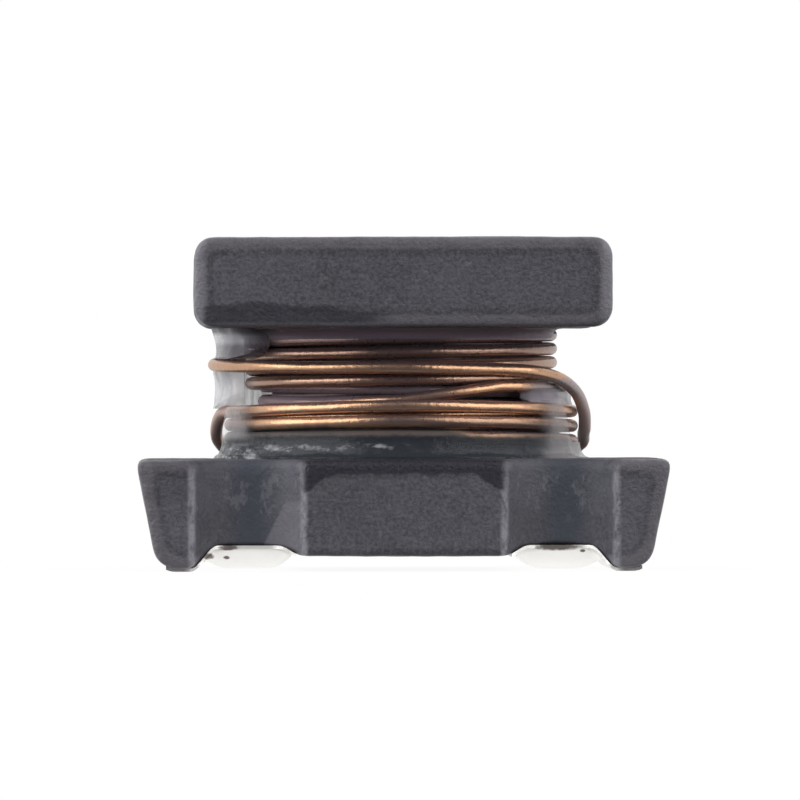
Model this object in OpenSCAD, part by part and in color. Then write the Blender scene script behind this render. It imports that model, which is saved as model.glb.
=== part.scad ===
// Wirewound surface-mount inductor: a ferrite drum core, one enamelled copper wire wound
// on its post, two tinned terminals with their solder, and the resin that fixes the wire.
// Z is up. The origin is at the middle of the underside, level with the terminals.
// The front is at -Y, and both wire ends go down at the rear.

/* [Core] */
// Length of the base
base_l = 3.2; // [2.8:0.05:3.8]
// Depth of the base and of the top flange
core_w = 2.5; // [2.4:0.05:3]
// Height of the base, from its feet to its top face
base_h = 0.65; // [0.5:0.01:0.9]
// Length of the top flange
flange_l = 2.5; // [2.3:0.05:3]
// Thickness of the top flange
flange_h = 0.54; // [0.4:0.01:0.8]
// Height of the winding space between the base and the top flange
window_h = 0.79; // [0.7:0.01:1.1]
// Diameter of the post
post_d = 1.4; // [1.1:0.02:1.5]
// Lean of the base's two end faces, in degrees
end_lean = 11.5; // [0:0.5:14]
// Radius of the top flange's corners, seen from the front
flange_corner_r = 0.13; // [0.05:0.01:0.19]
// Radius of the base's upper corners, seen from the front
base_corner_r = 0.09; // [0.04:0.01:0.15]
// Radius of the feet's outer corners, seen from the front
foot_r = 0.13; // [0.06:0.01:0.14]
// Radius of the upright corners, seen from above
upright_r = 0.1; // [0.05:0.01:0.15]
// Radius of the edges round the front and rear faces
face_edge_r = 0.08; // [0.03:0.01:0.12]

/* [Underside] */
// Distance of each notch and groove from the end of the base
notch_inset = 0.665; // [0.6:0.005:0.7]
// Flat length of each groove's ceiling
groove_l = 0.36; // [0.3:0.01:0.4]
// Run of the sloping flank on each side of a groove
groove_flank = 0.16; // [0.1:0.01:0.18]
// Height of a groove's ceiling above the feet
groove_rise = 0.135; // [0.12:0.005:0.18]
// Height of the middle land above the feet
land_rise = 0.07; // [0.04:0.005:0.1]
// Radius of the underside's bends
bend_r = 0.06; // [0.02:0.01:0.08]

/* [Notches] */
// Width of a notch where it opens on the face
notch_w = 0.66; // [0.6:0.01:0.7]
// Depth of a notch
notch_depth = 0.2; // [0.17:0.01:0.24]
// Width of a notch's floor between its curved sides
notch_floor = 0.4; // [0.36:0.01:0.44]
// Radius of the curve between a notch's floor and sides
notch_r = 0.3; // [0.15:0.01:0.32]
// Radius of a notch's outer lips
lip_r = 0.05; // [0.02:0.01:0.06]

/* [Terminals] */
// Thickness of the terminal layer
plating_t = 0.02; // [0.01:0.005:0.03]
// Bare margin between a terminal and the core's edges
plating_margin = 0.05; // [0.04:0.01:0.1]
// Length of the solder along each groove
solder_l = 1.9; // [1.5:0.05:2]
// Height of the solder's lower face above the terminals' contact plane
solder_lift = 0.01; // [0:0.005:0.03]

/* [Wire] */
// Diameter of the wire over its enamel
wire_d = 0.075; // [0.06:0.001:0.08]
// Gap between neighbouring turns of the inner layers
turn_gap = 0.005; // [0.005:0.001:0.02]
// Gap between neighbouring turns of the lower outer layer
outer_gap = 0.016; // [0.006:0.001:0.02]
// Gap between the layers of the upper section
upper_layer_gap = 0.0035; // [0.003:0.0005:0.01]
// Gap between the layers of the lower section
lower_layer_gap = 0.019; // [0.01:0.001:0.025]
// Gap between the lower and the upper section
section_gap = 0.0125; // [0.006:0.0005:0.03]
// Clearance of the wire on the post
post_gap = 0.012; // [0.012:0.001:0.02]
// Clearance of the winding at the base and at the top flange
end_gap = 0.007; // [0.004:0.001:0.02]
// Height of the winding's lower section
lower_h = 0.33; // [0.3:0.01:0.45]
// Rise of the last turn above the upper section's lowest turn
last_rise = 0.174; // [0.165:0.001:0.24]
// Outward bulge of the last turn on the left side
last_bulge = 0.13; // [0:0.01:0.14]
// Length of each wire end in its groove
tail_l = 1.2; // [0.6:0.05:1.4]

/* [Resin] */
// Reach of the resin round the foot of the winding
resin_reach = 0.06; // [0.03:0.01:0.1]
// Height of the resin round the foot of the winding
resin_rise = 0.1; // [0.05:0.01:0.15]
// Height of the resin in front of the winding's lower turns
apron_rise = 0.17; // [0.15:0.01:0.2]
// Reach of the resin under the top flange
collar_reach = 0.1; // [0.04:0.01:0.12]
// Drop of the resin under the top flange
collar_drop = 0.07; // [0.03:0.01:0.1]
// Thickness of the resin's thin edges
resin_lip = 0.008; // [0.004:0.001:0.02]
// Clearance between resin, solder and wire
resin_gap = 0.004; // [0.003:0.001:0.01]

/* [Hidden] */

$fn = 64;
// Straight steps in each rounded corner of an outline
arc_steps = 6;
// Rings in each turn of the wire, and sides of its section
turn_steps = 20;
wire_sides = 8;
// Rings between two stations of a wire end
lead_steps = 3;
// Length by which cutting shapes run past what they cut
over = 0.1;

function unit(v) = v / norm(v);
function mix(a, b, t) = a + (b - a) * t;
function ease(t) = t * t * (3 - 2 * t);
function turn_back(angle) = angle > 180 ? angle - 360 : angle < -180 ? angle + 360 : angle;

// Levels
feet_z = plating_t;
base_top = feet_z + base_h;
flange_z = base_top + window_h;
core_top = flange_z + flange_h;

// Stations of the base's front outline, from the middle outwards, with the end faces' upper
// corners set out so that the base keeps its length once they are rounded
notch_x = base_l / 2 - notch_inset;
land_x = notch_x - groove_l / 2 - groove_flank;
groove_in_x = notch_x - groove_l / 2;
groove_out_x = notch_x + groove_l / 2;
foot_in_x = notch_x + groove_l / 2 + groove_flank;
end_x = base_l / 2 + base_corner_r * ((1 + sin(end_lean)) / cos(end_lean) - 1);
foot_out_x = end_x - base_h * tan(end_lean);

// Layer radii, to the middle of the wire
wire_r = wire_d / 2;
upper_pitch = wire_d + upper_layer_gap;
lower_pitch = wire_d + lower_layer_gap;
first_r = post_d / 2 + post_gap + wire_r;
upper_r = [for (k = [0:3]) first_r + k * upper_pitch];
lower_r = [for (k = [0:3]) first_r + k * lower_pitch];
lead_r = max(lower_r[3], upper_r[3]) + upper_pitch;

// Levels of the winding, and the turns that fit between them
turn_pitch = wire_d + turn_gap;
outer_pitch = wire_d + outer_gap;
low_bottom = base_top + end_gap + wire_r;
low_turns = max(1, floor((lower_h - end_gap - wire_d) / turn_pitch));
low_top = low_bottom + low_turns * turn_pitch;
up_bottom = low_top + wire_d + section_gap;
up_top = flange_z - end_gap - wire_r;
first_turns = floor((up_top - low_bottom) / turn_pitch - 0.5) + 0.5;
cross_z = up_bottom - wire_r;
second_turns = floor((up_top - up_bottom) / turn_pitch - 0.4) + 0.4;
third_z = up_bottom + 1.05 * turn_pitch;
third_turns = floor((up_top - third_z) / turn_pitch - 0.5) + 0.5;
outer_turns = low_turns + 0.25;
outer_top = low_bottom + outer_turns * outer_pitch;
last_z = up_bottom + last_rise;

// Level of the wire ends in the grooves, and their place in the rear notches
tail_z = feet_z + groove_rise - plating_t - resin_gap - wire_r;
notch_y = core_w / 2 - notch_depth;
lead_y = notch_y + wire_r + 2 * resin_gap;

// Points of one corner q of an outline, rounded to radius r between its neighbours p and s
function corner(p, q, s, r) =
    let (a = unit(p - q), b = unit(s - q), half = acos(a * b) / 2)
    let (centre = q + unit(a + b) * r / sin(half))
    let (from = q + a * r / tan(half) - centre, to = q + b * r / tan(half) - centre)
    let (start = atan2(from.y, from.x), sweep = turn_back(atan2(to.y, to.x) - start))
    [for (i = [0:arc_steps]) let (t = start + sweep * i / arc_steps) centre + r * [cos(t), sin(t)]];

// An outline from corners given as [x, y, radius]
function rounded(c) =
    let (n = len(c), at = function (i) [c[i % n].x, c[i % n].y])
    [for (i = [0:n - 1]) each corner(at(i + n - 1), at(i), at(i + 1), c[i].z)];

// Corners of a shape that is alike on its left and right, from those of its right half
function both_sides(right) =
    concat(right, [for (i = [len(right) - 1:-1:0]) [-right[i].x, right[i].y, right[i].z]]);

function box_outline(w, h, r) = rounded(both_sides([[w / 2, h, r], [w / 2, 0, r]]));

module along_y(depth) {
    rotate([90, 0, 0]) linear_extrude(depth, center = true) children();
}

module along_x(length) {
    rotate([90, 0, 90]) linear_extrude(length, center = true) children();
}

// Front outline of the base, with its leaning ends, feet, grooves and middle land
module base_front() {
    polygon(rounded(both_sides([
        [end_x, base_h, base_corner_r],
        [foot_out_x, 0, foot_r],
        [foot_in_x, 0, 2 * bend_r],
        [groove_out_x, groove_rise, bend_r],
        [groove_in_x, groove_rise, bend_r],
        [land_x, land_rise, bend_r]])));
}

// Corners of one notch in the rear face, from its outer lip to its inner lip
function notch_corners() = [
    [notch_x + notch_w / 2, core_w / 2, lip_r],
    [notch_x + notch_floor / 2, notch_y, notch_r],
    [notch_x - notch_floor / 2, notch_y, notch_r],
    [notch_x - notch_w / 2, core_w / 2, lip_r]];

// Plan of the base, with two notches in its front and two in its rear
module base_plan() {
    rear = concat([[end_x, core_w / 2, upright_r]], notch_corners());
    front = [for (i = [len(rear) - 1:-1:0]) [rear[i].x, -rear[i].y, rear[i].z]];
    polygon(rounded(both_sides(concat(front, rear))));
}

module drum_core() {
    color("#4d4c51") {
        translate([0, 0, feet_z]) intersection() {
            along_y(core_w + over) base_front();
            translate([0, 0, -over]) linear_extrude(base_h + 2 * over) base_plan();
            along_x(base_l + 2 * over) polygon(box_outline(core_w, base_h, face_edge_r));
        }
        translate([0, 0, base_top - over]) cylinder(d = post_d, h = window_h + 2 * over);
        translate([0, 0, flange_z]) intersection() {
            along_y(core_w + over) polygon(box_outline(flange_l, flange_h, flange_corner_r));
            along_x(flange_l + over) polygon(box_outline(core_w, flange_h, face_edge_r));
            translate([0, -core_w / 2, -over]) linear_extrude(flange_h + 2 * over)
                polygon(box_outline(flange_l, core_w, upright_r));
        }
    }
}

// A stretch of the winding between two stations, given as [angle, radius, level]
function stretch(from, to) =
    let (n = round((to[0] - from[0]) / 360 * turn_steps))
    [for (i = [1:n]) let (t = i / n)
        [mix(from[0], to[0], t), mix(from[1], to[1], ease(t)), mix(from[2], to[2], t)]];

// Angles at which the wire steps from layer to layer, with the right side at 0 and the rear at 90.
// Most steps take a quarter turn. The last one crosses the front, over the turn that follows it.
step = 90;
outer_start = 180;
outer_end = outer_start + 360 * outer_turns;
low_third_end = outer_end + step + 360 * low_turns;
low_second_end = low_third_end + step + 360 * low_turns;
first_end = low_second_end + step + 360 * first_turns;
second_end = first_end + step + 360 * second_turns;
third_start = second_end + 306;
third_end = third_start + 360 * third_turns;

// Stations of the wound part: down the lower outer layer, inwards through the lower section,
// up the post, and outwards through the upper section
stations = [
    [outer_start, lower_r[3], outer_top],
    [outer_end, lower_r[3], low_bottom],
    [outer_end + step, lower_r[2], low_bottom],
    [low_third_end, lower_r[2], low_top],
    [low_third_end + step, lower_r[1], low_top],
    [low_second_end, lower_r[1], low_bottom],
    [low_second_end + step, first_r, low_bottom],
    [first_end, first_r, up_top],
    [first_end + step, upper_r[1], up_top],
    [second_end, upper_r[1], cross_z],
    [second_end + 36, upper_r[2], cross_z + 0.2 * wire_d],
    [second_end + 72, mix(upper_r[2], upper_r[3], 0.75), third_z - 0.28 * wire_d],
    [second_end + 108, upper_r[3], third_z - 0.26 * wire_d],
    [second_end + 162, mix(upper_r[2], upper_r[3], 0.9), third_z - 0.24 * wire_d],
    [second_end + 252, upper_r[2], third_z - 0.16 * wire_d],
    [third_start, upper_r[2], third_z],
    [third_end, upper_r[2], up_top]];
wound = [stations[0], for (i = [1:len(stations) - 1]) each stretch(stations[i - 1], stations[i])];

// The lower outer layer sags at its sides, most at the left, where its turns nearly touch
touch_gap = 0.004;
low_share = 0.3;
left_sag = (outer_gap - touch_gap) * outer_turns / (1 - low_share);
function sag(a, z) =
    left_sag * mix(low_share, 1, (z - low_bottom) / (outer_top - low_bottom))
    * (0.6 * pow(cos(a), 2) - 0.4 * cos(a));
function sagged(s) = s[0] > outer_end ? s : s - [0, 0, sag(s[0], s[2])];

// The last turn, from the top right round the rear, the left and the front, to the right again
last_r = upper_r[3] + 0.2 * wire_d;
bulge_r = last_r + last_bulge;
finish_z = last_z - 4.7 * wire_d;
last_turn = [
    [45, mix(upper_r[2], bulge_r, 0.7), mix(up_top, last_z, 0.02)],
    [90, bulge_r, mix(up_top, last_z, 0.3)],
    [135, bulge_r, mix(up_top, last_z, 0.7)],
    [180, bulge_r, last_z + 0.3 * wire_d],
    [225, mix(bulge_r, last_r, 0.7), last_z + 0.1 * wire_d],
    [270, last_r, last_z],
    [310, mix(last_r, lead_r, 0.15), last_z - 0.15 * wire_d],
    [330, mix(last_r, lead_r, 0.4), last_z - 0.65 * wire_d],
    [343, mix(last_r, lead_r, 0.8), last_z - 1.8 * wire_d],
    [352, lead_r, last_z - 3.4 * wire_d],
    [360, lead_r, finish_z]];

function on_turn(s) = [s[1] * cos(s[0]), s[1] * sin(s[0]), s[2]];

// One wire end, from the side of the winding back over the base, down the rear notch and
// along the groove. The side is -1 at the left and 1 at the right.
lead_top = base_top + wire_r + 3 * resin_gap;
function lead(side, z) = [
    [side * lead_r, 0.28 * notch_y, mix(z, lead_top, 0.3)],
    [side * lead_r, 0.58 * notch_y, mix(z, lead_top, 0.68)],
    [side * mix(lead_r, notch_x, 0.3), 0.88 * notch_y, mix(z, lead_top, 0.97)],
    [side * mix(lead_r, notch_x, 0.55), notch_y + 0.2 * wire_d, lead_top],
    [side * mix(lead_r, notch_x, 0.7), lead_y + wire_r, base_top - 0.2 * wire_d],
    [side * mix(lead_r, notch_x, 0.85), lead_y, base_top - 2 * wire_d],
    [side * notch_x, lead_y, mix(base_top, tail_z, 0.6)],
    [side * notch_x, lead_y, tail_z + 1.6 * wire_d],
    [side * notch_x, lead_y, tail_z + 0.75 * wire_d],
    [side * notch_x, lead_y - 0.15 * wire_d, tail_z + 0.14 * wire_d],
    [side * notch_x, lead_y - 0.75 * wire_d, tail_z - 0.02 * wire_d],
    [side * notch_x, lead_y - 2 * wire_d, tail_z],
    [side * notch_x, lead_y - tail_l / 2, tail_z],
    [side * notch_x, lead_y - tail_l, tail_z]];

function reversed(list) = [for (i = [len(list) - 1:-1:0]) list[i]];

// A smooth run through stations, with the neighbours before and after its two ends
function spline(c) =
    [for (i = [1:len(c) - 3], j = [1:lead_steps]) let (t = j / lead_steps)
        (2 * c[i] + t * (c[i + 1] - c[i - 1])
        + t * t * (2 * c[i - 1] - 5 * c[i] + 4 * c[i + 1] - c[i + 2])
        + t * t * t * (3 * c[i] - c[i - 1] - 3 * c[i + 1] + c[i + 2])) / 2];

coil = [for (s = wound) on_turn(sagged(s))];
coil_end = len(coil) - 1;
start_z = outer_top - left_sag;
start_bend = [-mix(lower_r[3], lead_r, 0.6), 0.12 * notch_y, start_z - 0.1 * wire_d];
start_lead = concat([start_bend], lead(-1, start_z));
finish_lead = concat([for (s = last_turn) on_turn(s)], lead(1, finish_z));
start_tip = start_lead[len(start_lead) - 1];
finish_tip = finish_lead[len(finish_lead) - 1];

start_run = reversed(concat([coil[0]], spline(concat([coil[1], coil[0]], start_lead, [start_tip]))));
finish_run = spline(concat([coil[coil_end - 1], coil[coil_end]], finish_lead, [finish_tip]));
route = concat(start_run, [for (i = [1:coil_end]) coil[i]], finish_run);

// The ring of section points round one point of the wire's route
function wire_ring(i) =
    let (last = len(route) - 1, p = route[i])
    let (along = unit(route[min(i + 1, last)] - route[max(i - 1, 0)]))
    let (outward = [p.x, p.y, 0], side = unit(outward - along * (along * outward)))
    let (up = cross(along, side))
    [for (k = [0:wire_sides - 1]) let (t = (k + 0.5) * 360 / wire_sides)
        p + wire_r * (cos(t) * side + sin(t) * up)];

module winding() {
    rings = len(route);
    points = [for (i = [0:rings - 1]) each wire_ring(i)];
    walls = [for (i = [0:rings - 2], k = [0:wire_sides - 1])
        let (a = i * wire_sides + k, b = i * wire_sides + (k + 1) % wire_sides)
        each [[a, b, b + wire_sides], [a, b + wire_sides, a + wire_sides]]];
    start_cap = [for (k = [wire_sides - 1:-1:0]) k];
    finish_cap = [for (k = [0:wire_sides - 1]) (rings - 1) * wire_sides + k];
    color("#b06a3c") polyhedron(points, concat(walls, [start_cap, finish_cap]));
}

// Terminal layer under one end of the base. The side is -1 at the left and 1 at the right.
module electrode(side) {
    color("#dcd8d0") translate([0, 0, feet_z]) intersection() {
        along_y(core_w - 2 * face_edge_r) difference() {
            intersection() {
                translate([0, -plating_t]) base_front();
                translate([side * (land_x + foot_out_x) / 2, 0])
                    square([foot_out_x - land_x - 2 * plating_margin, 2 * groove_rise + over],
                        center = true);
            }
            base_front();
        }
        translate([0, 0, -over]) linear_extrude(groove_rise + 2 * over) base_plan();
    }
}

module electrode_left() {
    electrode(-1);
}

module electrode_right() {
    electrode(1);
}

// Solder in one groove, shaped by the terminal layer above it and by the wire inside it
module solder(side) {
    solder_w = groove_l + groove_flank;
    solder_y = notch_y - plating_margin - solder_l / 2 - 2 * wire_d;
    color("#c8c5be") difference() {
        translate([0, solder_y, 0]) intersection() {
            along_y(solder_l) translate([side * notch_x, solder_lift])
                polygon(box_outline(solder_w, feet_z + groove_rise, bend_r));
            translate([side * notch_x, 0, solder_lift]) along_x(solder_w)
                polygon(box_outline(solder_l, feet_z + groove_rise, bend_r));
        }
        along_y(core_w) base_front();
        translate([side * notch_x, lead_y - tail_l - resin_gap, tail_z]) rotate([-90, 0, 0])
            cylinder(d = wire_d + 2 * resin_gap, h = core_w);
    }
}

module solder_left() {
    solder(-1);
}

module solder_right() {
    solder(1);
}

// Outline of resin drawn into an inner corner at [r, z], hollow on its open side
function meniscus(r, z, reach, rise) =
    let (lip = sign(rise) * resin_lip)
    concat([[r, z], [r + reach, z]],
        [for (i = [0:2 * arc_steps]) let (t = 90 * i / (2 * arc_steps))
            [r + reach - (reach - resin_lip) * sin(t), z + rise - (rise - lip) * cos(t)]],
        [[r, z + rise]]);

// Angles at which the apron, its two side films, the bead, the web, the collar and the collar's cheek
// start, and the angles that they cover
apron_from = 200;
apron_sweep = 142;
left_film_from = 182;
left_film_sweep = 42;
right_film_from = 312;
right_film_sweep = 30;
bead_from = 140;
bead_sweep = 45;
web_from = 318;
web_sweep = 85;
collar_from = 140;
collar_sweep = 205;
cheek_from = 165;
cheek_sweep = 48;
lower_face_r = lower_r[3] + wire_r + resin_gap;
upper_face_r = upper_r[2] + wire_r + resin_gap;

// Level of the lower section's top turn where the web starts, and the web's lower edge above it
web_turn = sagged([web_from, lower_r[3], outer_top - outer_pitch * (web_from - outer_start) / 360]);
web_low = max(web_turn[2], low_top) + wire_r + 2 * resin_gap;

// Resin round the foot of the winding, as high as given over an angle
module foot(from, sweep, rise) {
    rotate([0, 0, from]) rotate_extrude(angle = sweep)
        polygon(meniscus(lower_face_r, base_top, resin_reach, rise));
}

// Ring round the foot of the winding, under the wire ends, with a higher apron in front and a thin film
// at each side of it
module resin_foot() {
    color("#8d9aa0") {
        foot(0, 360, min(resin_rise, finish_z - wire_d - base_top));
        foot(apron_from, apron_sweep, apron_rise);
        foot(left_film_from, left_film_sweep, start_z + wire_r - base_top);
        foot(right_film_from, right_film_sweep, web_low - base_top);
    }
}

// Resin between two levels, from the winding's upper face out to a radius, hollow on its open side
module filled(from, sweep, low, high, out_r) {
    waist = (out_r - upper_face_r) / 8;
    rotate([0, 0, from]) rotate_extrude(angle = sweep)
        polygon(concat([[upper_face_r, high], [upper_face_r, low]],
            [for (i = [0:2 * arc_steps]) let (t = i / (2 * arc_steps))
                [out_r - waist * sin(180 * t), mix(low, high, t)]]));
}

// Bead at the left, between the last turn's bulge and the lower section
module resin_bead() {
    low = start_z + wire_r + 2 * resin_gap;
    high = last_z - wire_r - resin_gap;
    color("#b9bcc6") filled(bead_from, bead_sweep, low, high, max(bulge_r, lead_r) + wire_r / 2);
}

// Web at the right, between the crossing wire and the lower section
module resin_web() {
    high = third_z - 0.28 * wire_d - wire_r - 2 * resin_gap;
    color("#b9bcc6") filled(web_from, web_sweep, web_low, high, lower_r[3]);
}

// Collar under the flange, with a cheek at the left that hangs down to the last turn's bulge
module resin_collar() {
    bulge_top = mix(last_z + 0.3 * wire_d, mix(up_top, last_z, 0.7), 0.45) + wire_r;
    color("#b9bcc6") {
        rotate([0, 0, collar_from]) rotate_extrude(angle = collar_sweep)
            polygon(meniscus(upper_face_r, flange_z, collar_reach, -collar_drop));
        filled(cheek_from, cheek_sweep, bulge_top + 2 * resin_gap, flange_z, bulge_r);
    }
}

drum_core();
winding();
electrode_left();
electrode_right();
solder_left();
solder_right();
resin_foot();
resin_bead();
resin_web();
resin_collar();
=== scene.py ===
"""A wirewound surface-mount inductor, finished round its solids.

The ferrite core, the copper winding, the tinned terminals, their solder and the fixing resin each have
an operator. Meshes and masks work in millimetres, and a finished piece is scaled to metres.
"""
import math
from types import SimpleNamespace

import bmesh
import bpy
from bpy.props import FloatProperty, FloatVectorProperty, IntProperty, PointerProperty
from mathutils import Matrix, Quaternion, Vector, noise


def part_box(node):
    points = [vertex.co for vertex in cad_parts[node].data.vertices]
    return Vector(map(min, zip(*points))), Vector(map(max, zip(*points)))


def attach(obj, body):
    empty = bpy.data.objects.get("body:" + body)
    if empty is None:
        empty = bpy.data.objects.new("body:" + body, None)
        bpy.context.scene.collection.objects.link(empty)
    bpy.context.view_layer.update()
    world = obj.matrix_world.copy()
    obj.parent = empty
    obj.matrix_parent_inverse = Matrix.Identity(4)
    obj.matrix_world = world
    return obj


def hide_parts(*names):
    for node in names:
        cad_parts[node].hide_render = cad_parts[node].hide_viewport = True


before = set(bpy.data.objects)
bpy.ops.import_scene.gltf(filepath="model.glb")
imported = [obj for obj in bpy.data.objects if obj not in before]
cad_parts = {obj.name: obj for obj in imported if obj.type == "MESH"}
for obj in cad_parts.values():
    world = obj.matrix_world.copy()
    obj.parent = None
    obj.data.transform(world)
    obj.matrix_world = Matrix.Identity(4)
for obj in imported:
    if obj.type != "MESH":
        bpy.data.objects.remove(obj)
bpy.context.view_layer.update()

bl_info = {
    "name": "Wirewound inductor",
    "version": (1, 0, 0),
    "blender": (4, 5, 0),
    "location": "3D View > Sidebar > Inductor",
    "description": "Builds the finished pieces of a wirewound surface-mount inductor on its solids",
    "category": "Add Mesh",
}

BODY = "root"
SIDES = {"left": -1, "right": 1}
# A millimetre in metres
MM = 0.001
# Points closer than this are one, in millimetres
NEAR = 1e-4
# What softening takes off the base's two ends, in millimetres
SOFTENED = 0.006


def corners(box):
    """The two corners, in millimetres, of a box in metres."""
    return [corner / MM for corner in box]


CORE_LOW, CORE_HIGH = corners(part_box("drum_core"))


def length(name, description, millimetres, lowest=0):
    """A length that a user may change, given in millimetres and kept in metres."""
    return FloatProperty(
        name=name,
        description=description,
        default=millimetres * MM,
        min=lowest * MM,
        unit="LENGTH",
        precision=6,
    )


def angle(name, description, degrees):
    """An angle that a user may change, given in degrees and kept in radians."""
    return FloatProperty(
        name=name, description=description, default=math.radians(degrees), subtype="ANGLE"
    )


def brightness(name, description, value):
    """A lamp's brightness that a user may change, where 1 is the white background's."""
    return FloatProperty(name=name, description=description, default=value, min=0)


def colour(name, description, *value):
    """A colour that a user may change, in linear red, green and blue."""
    return FloatVectorProperty(
        name=name, description=description, default=value, min=0, max=1, size=3, subtype="COLOR"
    )


class CoreSettings(bpy.types.PropertyGroup):
    """Sizes and colours of the ferrite drum core."""

    base_height: length("Base height", "From the feet to the base's top face", 0.65)
    flange_length: length("Flange length", "Length of the top flange", 2.5)
    flange_height: length("Flange height", "Thickness of the top flange", 0.54)
    foot_corner: length("Foot corner", "Radius of a foot's outer corner, seen from the front", 0.13)
    flange_corner: length("Flange corner", "Radius of the flange's corners, seen from the front", 0.11)
    post: length("Post", "Diameter of the post in the winding", 1.4)
    end_lean: angle("End lean", "Lean of the base's two end faces", 11.5)
    notch_inset: length("Notch inset", "From the end of the base to the middle of a notch", 0.665)
    notch_width: length("Notch width", "Width of a notch where it opens", 0.67)
    notch_depth: length("Notch depth", "Depth of a notch", 0.2)
    notch_floor: length("Notch floor", "Width of a notch's floor", 0.4)
    notch_radius: length("Notch radius", "Curve between a notch's floor and sides", 0.3)
    groove: length("Groove", "Flat length of a groove's ceiling", 0.36)
    groove_flank: length("Groove flank", "Run of a groove's sloping side", 0.16)
    groove_rise: length("Groove rise", "Height of a groove's ceiling above the feet", 0.135)
    land_rise: length("Land rise", "Height of the middle land above the feet", 0.07)
    grain: length("Grain", "Size of the faces in the core's skin", 0.024)
    softening: IntProperty(
        name="Softening", description="Smoothing passes that round the pressed edges", default=7, min=0
    )
    swell: length("Swell", "Height of the wide waves in the core's skin", 0.004)
    swell_size: length("Swell size", "Size of the wide waves in the core's skin", 0.4)
    dents: length("Dents", "Height of the small dents in the core's skin", 0.002)
    dents_size: length("Dents size", "Size of the small dents in the core's skin", 0.09)
    grey: colour("Grey", "Pressed face of the ferrite", 0.106, 0.102, 0.121)
    # Also the colour of the painted shade on the notches' left sides
    dark: colour("Dark", "Pits in the pressed face", 0.034, 0.033, 0.04)
    # Partly a painted highlight: the rounded edges are painted paler than the faces
    edge: colour("Edge", "Rounded edges of the ferrite", 0.117, 0.11, 0.125)
    # Painted light on the sides of the notches, which face the side lamps
    wall_light: colour("Wall", "Sides of the notches", 0.128, 0.13, 0.163)
    # Painted shade in the middle of the notches, whose curved floor faces away from the lamps
    hollow: colour("Hollow", "Middle of the notches", 0.048, 0.055, 0.074)
    # Painted highlight on the notches' lips, the flange's rounded ends and one notch facet; also the
    # colour of the notches' scuffs
    lip: colour("Lip", "Worn lips of the notches", 0.265, 0.26, 0.29)
    slick: colour("Slick", "Ferrite wetted by resin", 0.018, 0.018, 0.026)


class WindingSettings(bpy.types.PropertyGroup):
    """Sizes and colours of the copper wire and its turns."""

    diameter: length("Diameter", "Wire diameter over the enamel", 0.075)
    turn_gap: length("Turn gap", "Between neighbouring turns of the inner layers", 0.005)
    outer_gap: length("Outer gap", "Between the turns of the lower outer layer", 0.016)
    upper_layer_gap: length("Upper layer gap", "Between layers of the upper section", 0.0035)
    lower_layer_gap: length("Lower layer gap", "Between layers of the lower section", 0.019)
    section_gap: length("Section gap", "Between the lower and the upper section", 0.0125)
    post_gap: length("Post gap", "Between the wire and the post", 0.012)
    end_gap: length("End gap", "Between the winding and the base or the flange", 0.007)
    lower_height: length("Lower height", "Height of the winding's lower section", 0.33)
    last_rise: length("Last rise", "Last turn above the upper section's lowest turn", 0.174)
    last_bulge: length("Last bulge", "Outward bulge of the last turn on the left", 0.13)
    touch_gap: length("Touch gap", "Between the lower outer turns where they sag at the left", 0.004)
    tail: length("Tail", "Length of each wire end in its groove", 1.2)
    clearance: length("Clearance", "Between wire, resin and solder", 0.004)
    copper: colour("Copper", "Copper seen through the enamel", 0.62, 0.36, 0.2)
    tarnish: colour("Tarnish", "Darker lengths of the wire", 0.44, 0.24, 0.13)
    # Painted shade: the inner layers lie deep between the outer turns
    inner: colour("Inner", "Inner layers of the winding", 0.2, 0.15, 0.16)
    # A darker, duller colour for the upper section's turns inside the outer ones
    dull: colour("Dull", "Dull turns of the upper section", 0.36, 0.23, 0.17)
    # Painted shadow of the flange on the turns next to it
    shaded: colour("Shaded", "Stained turns next to the flange", 0.15, 0.1, 0.1)
    wet: colour("Wet", "Turns soaked in the fixing resin", 0.03, 0.033, 0.04)
    film: colour("Film", "Thin resin over the turns at the right", 0.3, 0.29, 0.31)
    veil: colour("Veil", "Resin over the two leads beside the winding", 0.46, 0.4, 0.4)
    haze: colour("Haze", "Dull enamel over the copper", 0.22, 0.17, 0.2)


class TerminalSettings(bpy.types.PropertyGroup):
    """Sizes and colours of the tinned terminals and their solder."""

    plating: length("Plating", "Thickness of the terminal layer", 0.02)
    margin: length("Margin", "Bare margin at the core's edges", 0.05)
    face_edge: length("Face edge", "Bare rounding at the front and rear faces", 0.08)
    lift: length("Lift", "Lower face of the solder above the contact plane", 0.01)
    ragged: length("Ragged", "Unevenness of the terminal layer's edge", 0.012)
    lumps: length("Lumps", "Height of the lumps in the solder", 0.014)
    lump_mean: length("Lump mean", "Mean height of the lumps over the solder's lower face", 0.006)
    solder_edge: length("Solder edge", "Thickness of the solder at its edge", 0.012)
    tin: colour("Tin", "Fired and tinned terminal layer", 0.88, 0.86, 0.83)
    dull: colour("Dull", "Duller patches of the terminal layer", 0.6, 0.58, 0.55)
    # A darker front edge of the terminal layer under each foot
    dark_front_edge: colour("Worn", "Stained edge of the terminal layer under a foot", 0.2, 0.18, 0.19)
    bright: colour("Bright", "Cooled solder", 0.93, 0.92, 0.89)
    # Colour of the painted shade spots at the front of the grooves
    gap_shade: colour("Flux", "Specks of burnt flux", 0.14, 0.11, 0.1)


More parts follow.
